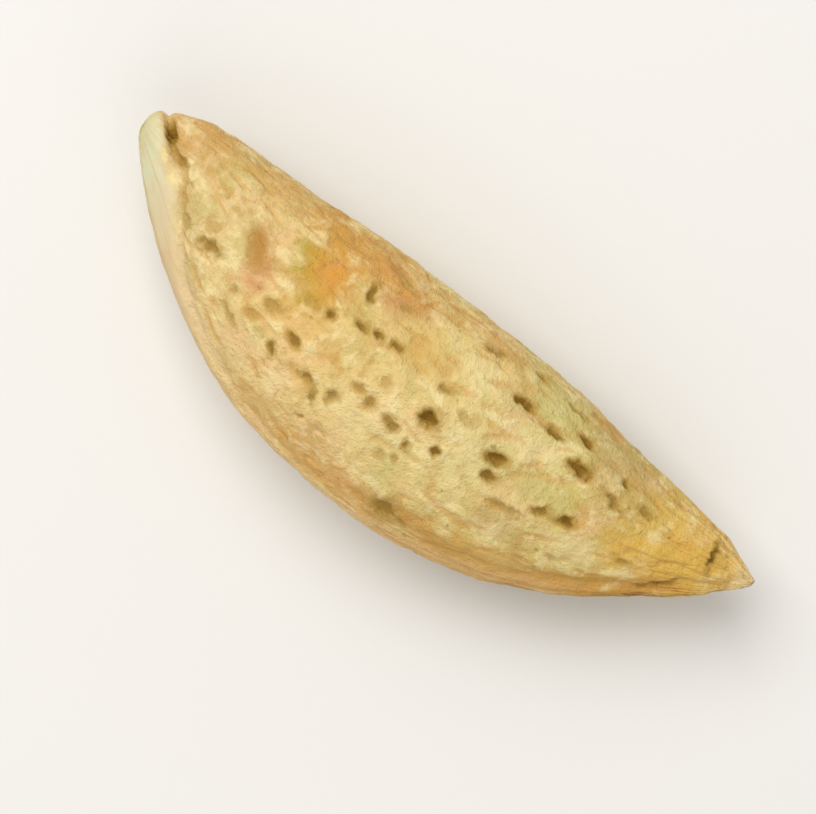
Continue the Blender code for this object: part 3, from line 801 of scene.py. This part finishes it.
# stains on the upper face, among them painted shadow along the back edge and a painted highlight on the
# face: colour, place along and across from the chord in mm, radii along and across in mm, turn in degrees,
# strength
stainsAndPaintedLight = [
    ("tan", (3.9, 1.4), (3.6, 1.2), 5, 0.6),
    ("moss", (6.2, 1.2), (1.6, 1.0), 20, 0.6),
    ("khaki", (5.6, -1.8), (1.0, 0.7), 0, 0.35),
    # tan along the back edge: partly the shell's colour, partly the painted shadow of a neighbouring nut
    ("tan", (8.4, 1.5), (4.4, 0.8), 2, 0.65),
    ("khaki", (6.6, -4.5), (1.6, 0.8), -40, 0.5),
    # tan along the back edge: partly the shell's colour, partly the painted shadow of a neighbouring nut
    ("tan", (14.6, 1.5), (3.8, 1.3), 0, 0.8),
    ("amber", (12.3, 0.9), (1.7, 1.3), 0, 0.8),
    ("green", (12.3, -0.8), (1.75, 1.8), -20, 0.95),
    ("orange", (12.9, -0.5), (1.5, 1.6), 20, 0.9),
    ("salmon", (9.7, -3.0), (1.0, 0.9), 0, 0.6),
    ("rust", (9.3, -1.85), (1.6, 0.65), -57, 1.0),
    ("amber", (16.2, 1.0), (1.8, 0.6), -12, 0.8),
    ("rust", (15.5, 1.6), (0.7, 0.4), 0, 0.5),
    ("rust", (16.7, 0.3), (1.5, 0.6), 8, 0.7),
    ("scar", (18.9, -0.6), (2.2, 1.3), 0, 0.9),
    ("cream", (11.5, -7.2), (5.5, 0.9), -18, 0.35),
    ("peach", (11.2, -6.0), (2.2, 0.8), -20, 0.6),
    ("tan", (14.0, -8.2), (2.6, 0.8), -14, 0.5),
    ("amber", (19.2, -8.9), (4.4, 0.9), 2, 0.6),
    ("moss", (20.6, -5.9), (2.2, 0.9), 0, 0.35),
    ("olive", (22.3, -8.6), (1.3, 0.75), -15, 0.75),
    ("amber", (25.1, -8.3), (2.2, 0.6), 0, 0.65),
    ("gold", (27.2, -7.5), (1.7, 0.8), 12, 0.55),
    ("cream", (24.0, -4.0), (2.2, 1.8), 0, 0.35),
    ("cream", (26.3, -1.5), (1.9, 1.0), 0, 0.6),
    # a painted highlight on the swell of the face
    ("cream", (22.2, 0.0), (2.0, 0.8), 0, 0.6),
    ("cream", (31.2, -4.3), (1.5, 0.8), 15, 0.6),
    ("khaki", (27.2, -5.4), (1.9, 0.9), 5, 0.6),
    ("peach", (26.6, -4.2), (1.4, 0.9), 0, 0.45),
    ("amber", (13.4, -3.6), (2.4, 1.3), 0, 0.35),
    ("cream", (18.8, -5.6), (2.6, 1.2), 0, 0.5),
    ("tan", (22.4, 1.9), (2.6, 0.7), 0, 0.5),
    ("tan", (28.5, -7.2), (3.6, 0.9), 20, 0.5),
    ("moss", (26.6, 0.9), (2.6, 1.6), 0, 0.6),
    ("moss", (28.4, -2.6), (1.6, 1.0), 30, 0.4),
    ("tan", (24.6, 0.9), (0.6, 0.5), 0, 0.5),
    ("amber", (29.3, 2.0), (1.3, 0.7), 0, 0.65),
    ("khaki", (30.6, 0.6), (2.8, 1.5), 0, 0.75),
    ("olive", (31.0, 2.2), (1.2, 0.4), -10, 0.5),
    ("amber", (32.2, -5.8), (2.8, 0.7), 30, 0.55),
    ("gold", (36.2, -1.5), (3.1, 2.3), 0, 0.95),
    ("gold", (33.4, -3.0), (1.6, 1.2), 30, 0.6),
    ("amber", (35.3, -3.9), (2.3, 0.7), 38, 0.85),
]


def shellFinish(placed):
    # placed is where the stem end lies on the finished piece
    material = bpy.data.materials.new("dryWoodyAlmondShell")
    material.use_nodes = True
    tree = material.node_tree
    tree.nodes.clear()
    spot = addNode(tree, "ShaderNodeTexCoord").outputs["Object"]
    fibreWay = addNode(tree, "ShaderNodeAttribute", attribute_name="fibreWay").outputs["Vector"]
    kept = {}
    for name in (
        "share", "overLip", "bySlit", "rolled", "scar", "fibrous", "sunk", "pitOval", "pitStrength",
        "pore", "vein",
    ):
        kept[name] = addNode(tree, "ShaderNodeAttribute", attribute_name=name).outputs["Fac"]

    def between(value, start, full, most=1.0):
        # nought at start, most at full, with soft ends
        return addNode(
            tree, "ShaderNodeMapRange",
            {"Value": value, "From Min": start, "From Max": full, "To Max": most},
            interpolation_type="SMOOTHSTEP",
        )

    def product(first, second):
        return addNode(tree, "ShaderNodeMath", {0: first, 1: second}, operation="MULTIPLY")

    def plus(value, share, base):
        return addNode(tree, "ShaderNodeMath", {0: value, 1: share, 2: base}, operation="MULTIPLY_ADD")

    def centred(grain):
        return addNode(tree, "ShaderNodeMath", {0: grain.outputs["Fac"], 1: 0.5}, operation="SUBTRACT")

    # noises by the size of their grain in mm, centred on nought; the place is bent first, so that
    # the patches lie every way
    bend = addNode(
        tree, "ShaderNodeTexNoise",
        {"Vector": spot, "Scale": 1 / (finish["bendSize"] * mm), "Detail": 2.0},
    )
    bent = addNode(
        tree, "ShaderNodeVectorMath",
        {0: bend.outputs["Color"], 1: (finish["bendReach"] * mm,) * 3, 2: spot},
        operation="MULTIPLY_ADD",
    )
    grains = {}
    for name, size, detail, isBent in finish["grains"]:
        aside = (0, 0, len(grains) * 30 * mm)  # so that no two grains are alike
        sideways = addNode(tree, "ShaderNodeVectorMath", {0: bent if isBent else spot, 1: aside})
        grain = addNode(
            tree, "ShaderNodeTexNoise",
            {"Vector": sideways, "Scale": 1 / (size * mm), "Detail": detail, "Roughness": 0.6},
        )
        grains[name] = centred(grain)
    for name, length, width in finish["fibres"]:
        way = addNode(
            tree, "ShaderNodeMapping",
            {"Vector": fibreWay, "Scale": (1 / (length * mm), 1 / (width * mm), 1 / (width * mm))},
        )
        grain = addNode(tree, "ShaderNodeTexNoise", {"Vector": way, "Scale": 1.0, "Detail": 2.0})
        grains[name] = centred(grain)

    ramps = {}
    groundShare = plus(grains["cloud"], 0.12, kept["share"])
    for name, read in (("ground", groundShare), ("lip", kept["share"])):
        ramps[name] = addNode(tree, "ShaderNodeValToRGB", {"Fac": read})
        stops = ramps[name].color_ramp.elements
        for i, (place, code) in enumerate(finish[name]):
            stop = stops[i] if i < 2 else stops.new(place)
            stop.position, stop.color = place, linearColour(code)
    colour = ramps["ground"].outputs["Color"]

    def laidOver(colour, mask, over):
        over = linearColour(over) if isinstance(over, str) else over
        return addNode(tree, "ShaderNodeMix", {0: mask, 6: colour, 7: over}, data_type="RGBA").outputs[2]

    # clouds some mm across, then smaller patches, then specks
    for grain, start, full, most, name in finish["patches"]:
        colour = laidOver(colour, between(grains[grain], start, full, most), finish[name])

    # the bare fibres of the margin and the tip
    margin = plus(grains["mottle"], 0.9, kept["fibrous"])
    marginMask = product(between(margin, 0.35, 1.0, 0.7), between(kept["share"], 0.90, 0.75))
    colour = laidOver(colour, marginMask, finish["tan"])
    streak = between(kept["fibrous"], 0.1, 0.9, 0.6)
    for grain, start, full, name in finish["streaks"]:
        colour = laidOver(colour, product(between(grains[grain], start, full), streak), finish[name])

    # the stains, and the painted shadow and highlight among them, each in its own way along and across
    apart = addNode(tree, "ShaderNodeSeparateXYZ", {0: spot}).outputs
    below, aboveKeel = finish["stainHeight"]
    above = between(apart[2], below * mm, aboveKeel * mm)
    bySpeck, byMottle = finish["stainBreak"]
    for name, place, radii, turn, most in stainsAndPaintedLight:
        offs = [
            addNode(
                tree, "ShaderNodeMath", {0: apart[i], 1: place[i] * mm + placed[i]}, operation="SUBTRACT"
            )
            for i in (0, 1)
        ]
        c, s = math.cos(math.radians(turn)), math.sin(math.radians(turn))
        squares = []
        for shares, radius in (((c, s), radii[0]), ((-s, c), radii[1])):
            reach = plus(offs[0], shares[0] / (radius * mm), 0.0)
            reach = plus(offs[1], shares[1] / (radius * mm), reach)
            squares.append(product(reach, reach))
        oval = addNode(tree, "ShaderNodeMath", {0: squares[0], 1: squares[1]}, operation="ADD")
        out = addNode(tree, "ShaderNodeMath", {0: oval}, operation="SQRT")
        ragged = finish["ragged"].get(name, 1.0)
        out = plus(grains["mottle"], byMottle * ragged, out)
        out = plus(grains["speck"], bySpeck * ragged, out)
        mask = product(between(out, *finish["stainEdge"], most), above)
        colour = laidOver(colour, mask, finish[name])

    # low places hold dust and old hull: creases and pores
    offLip = between(kept["rolled"], 0.8, 0.1)
    colour = laidOver(colour, product(between(kept["vein"], 0.1, 1.0, 0.55), offLip), finish["tan"])
    colour = laidOver(colour, product(between(kept["pore"], 0.1, 0.8, 0.5), offLip), finish["pit"])

    # the lip of the keel, whose colour spreads past the roll a little behind the stem end and fades towards
    # the tip, and the pale nose of the tip, partly its own colour and partly a painted highlight
    wider = product(between(kept["share"], 0.10, 0.20, 0.5), between(kept["share"], 0.45, 0.28))
    lipEdge = plus(wider, -1.0, plus(grains["mottle"], 0.9, kept["overLip"]))
    nearStem, nearTip = between(kept["share"], 0.34, 0.14), between(kept["share"], 0.86, 0.70, 0.38)
    lipMask = product(between(lipEdge, 0.95, 0.60), plus(nearStem, 0.52, nearTip))
    colour = laidOver(colour, lipMask, ramps["lip"].outputs["Color"])
    for grain, start, full, most, name in (
        ("mottle", -0.03, -0.2, 0.5, "peach"), ("bundle", 0.02, 0.16, 0.3, "khaki"),
    ):
        lipMarks = product(between(grains[grain], start, full, most), lipMask)
        colour = laidOver(colour, lipMarks, finish[name])
    colour = laidOver(colour, between(kept["share"], 0.97, 0.985, 0.85), finish["beakAndHighlight"])

    # the slit of the keel and the lines beside it, and the scar of the stalk
    lines = between(grains["bundle"], -0.05, 0.12, 0.6)
    colour = laidOver(colour, product(lines, between(kept["bySlit"], 0.25, 0.95)), finish["tan"])
    slitEdge = plus(grains["mottle"], 0.15, kept["bySlit"])
    colour = laidOver(colour, between(slitEdge, 0.88, 0.99, 0.85), finish["olive"])
    scarEdge = plus(grains["speck"], 1.0, kept["scar"])
    colour = laidOver(colour, between(scarEdge, 0.25, 0.55, 0.75), finish["khaki"])
    colour = laidOver(colour, between(scarEdge, 0.55, 0.95, 0.6), finish["olive"])

    # the grooves, darkened by a painted shade that grows with their depth, and the pits with their dark
    # floors
    colour = laidOver(colour, between(kept["sunk"], 0.25, 1.1, 0.6), finish["pitEdge"])
    colour = laidOver(colour, between(kept["sunk"], 0.9, 1.3, 0.7), finish["pit"])
    raggedOval = plus(grains["crumb"], 2.0, kept["pitOval"])
    haloShown = addNode(tree, "ShaderNodeMath", {0: kept["pitStrength"], 1: 0.6}, operation="POWER")
    floorShown = between(kept["pitStrength"], 0.3, 1.0)
    for start, full, most, shown, name in (
        (3.4, 0.2, 0.9, haloShown, "pitEdge"), (1.2, 0.0, 1.0, floorShown, "pit"),
    ):
        colour = laidOver(colour, product(between(raggedOval, start, full, most), shown), finish[name])

    # dead matt, with a corky grain and a powdery one that only show close by
    height = product(grains["fibre"], between(kept["fibrous"], 0.0, 1.0, 0.8))
    for grain, share in (("crumb", 1.0), ("speck", 1.2), ("powder", 0.45)):
        height = plus(grains[grain], share, height)
    bump = addNode(
        tree, "ShaderNodeBump",
        {"Height": height, "Strength": between(kept["rolled"], 1.3, 0.1),
         "Distance": finish["bumpHeight"] * mm},
    )
    smoothest, roughest = finish["roughness"]
    rough = addNode(
        tree, "ShaderNodeMapRange",
        {"Value": grains["crumb"], "From Min": -0.2, "From Max": 0.2, "To Min": smoothest,
         "To Max": roughest},
    )
    surface = addNode(
        tree, "ShaderNodeBsdfPrincipled",
        {"Base Color": colour, "Roughness": rough, "Normal": bump, "IOR": finish["ior"],
         "Specular IOR Level": finish["specular"]},
    )
    addNode(tree, "ShaderNodeOutputMaterial", {"Surface": surface})
    return material


# the form runs from the stem end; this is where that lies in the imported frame
solidLow, solidHigh = (np.array(corner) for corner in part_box("almond"))
shaped = meshPoints(formMesh)
middle = (shaped.min(axis=0) + shaped.max(axis=0)) / 2
placed = (solidLow + solidHigh) / 2 - middle
placed[2] = -(shaped[:, 2].min() + shell["restCut"] * mm)

material = shellFinish(placed)
drawRelief(
    shellPiece, reliefTree(), {"pitMarks": marksPiece, "shellFinish": material, **reliefSizes}
)
points = meshPoints(shellPiece.data) + placed
points[:, 2] = np.maximum(points[:, 2], 0.0)  # the spot it lies on
movePoints(shellPiece.data, points)
shellPiece.data.shade_smooth()
bpy.data.objects.remove(marksPiece)
triangles = sum(len(face.vertices) - 2 for face in shellPiece.data.polygons)
print("almond: relief drawn,", triangles, "triangles")

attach(shellPiece, "root")
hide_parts("almond")

# the table, the light and the camera
table = {"side": 1.2, "colour": "#E4E1DB", "roughness": 0.9}  # side in metres
# watts, side in metres, and metres from the nut up the picture, to its right and towards the camera
lamps = {
    "keyLight": (1.12, 0.30, (0.18, -0.105, 0.30)),
    "fillLight": (0.45, 0.40, (-0.28, 0.0525, 0.28)),
}
sky = 0.47
view = {
    "turn": 37.2,  # degrees that the nut's length points down to the right in the picture
    "tilt": 0.0,  # degrees off straight down, from the keel side
    "lens": 150.0,
    "sensor": 36.0,
    "frameWidth": 0.0425,  # metres across the picture at the nut
}


def paleFinish():
    material = bpy.data.materials.new("mattWhiteTable")
    material.use_nodes = True
    surface = material.node_tree.nodes["Principled BSDF"]
    surface.inputs["Base Color"].default_value = linearColour(table["colour"])
    surface.inputs["Roughness"].default_value = table["roughness"]
    return material


half = table["side"] / 2
corners = [(-half, -half, 0), (half, -half, 0), (half, half, 0), (-half, half, 0)]
floorMesh = bpy.data.meshes.new("table")
floorMesh.from_pydata(corners, [], [(0, 1, 2, 3)])
floorMesh.materials.append(paleFinish())
floor = newObject("table", floorMesh)
floor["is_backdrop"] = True

turn, tilt = math.radians(view["turn"]), math.radians(view["tilt"])
towardCamera = Vector((0, -math.sin(tilt), math.cos(tilt)))
alongNut, acrossNut = Vector((1, 0, 0)), Vector((0, math.cos(tilt), math.sin(tilt)))
right = alongNut * math.cos(turn) + acrossNut * math.sin(turn)
up = acrossNut * math.cos(turn) - alongNut * math.sin(turn)
low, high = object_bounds()
target = Vector([(a + b) / 2 for a, b in zip(low, high)])
cameraData = bpy.data.cameras.new("camera")
cameraData.lens, cameraData.sensor_width, cameraData.clip_start = view["lens"], view["sensor"], 0.01
camera = newObject("camera", cameraData)
away = view["frameWidth"] * view["lens"] / view["sensor"]
camera.matrix_world = Matrix.Translation(target + towardCamera * away) @ Matrix(
    (right, up, towardCamera)
).transposed().to_4x4()
bpy.context.scene.camera = camera


def softLight(name, power, side, direction):
    data = bpy.data.lights.new(name, "AREA")
    data.shape, data.size, data.energy = "SQUARE", side, power
    lamp = newObject(name, data)
    lamp.location = target + direction
    lamp.rotation_euler = (-direction).to_track_quat("-Z", "Y").to_euler()


for name, (power, side, reach) in lamps.items():
    softLight(name, power, side, up * reach[0] + right * reach[1] + towardCamera * reach[2])
world = bpy.data.worlds.new("studio")
world.use_nodes = True
world.node_tree.nodes["Background"].inputs["Color"].default_value = (1, 1, 1, 1)
world.node_tree.nodes["Background"].inputs["Strength"].default_value = sky
bpy.context.scene.world = world
bpy.context.scene.view_settings.view_transform = "Standard"

print("almond: ready")
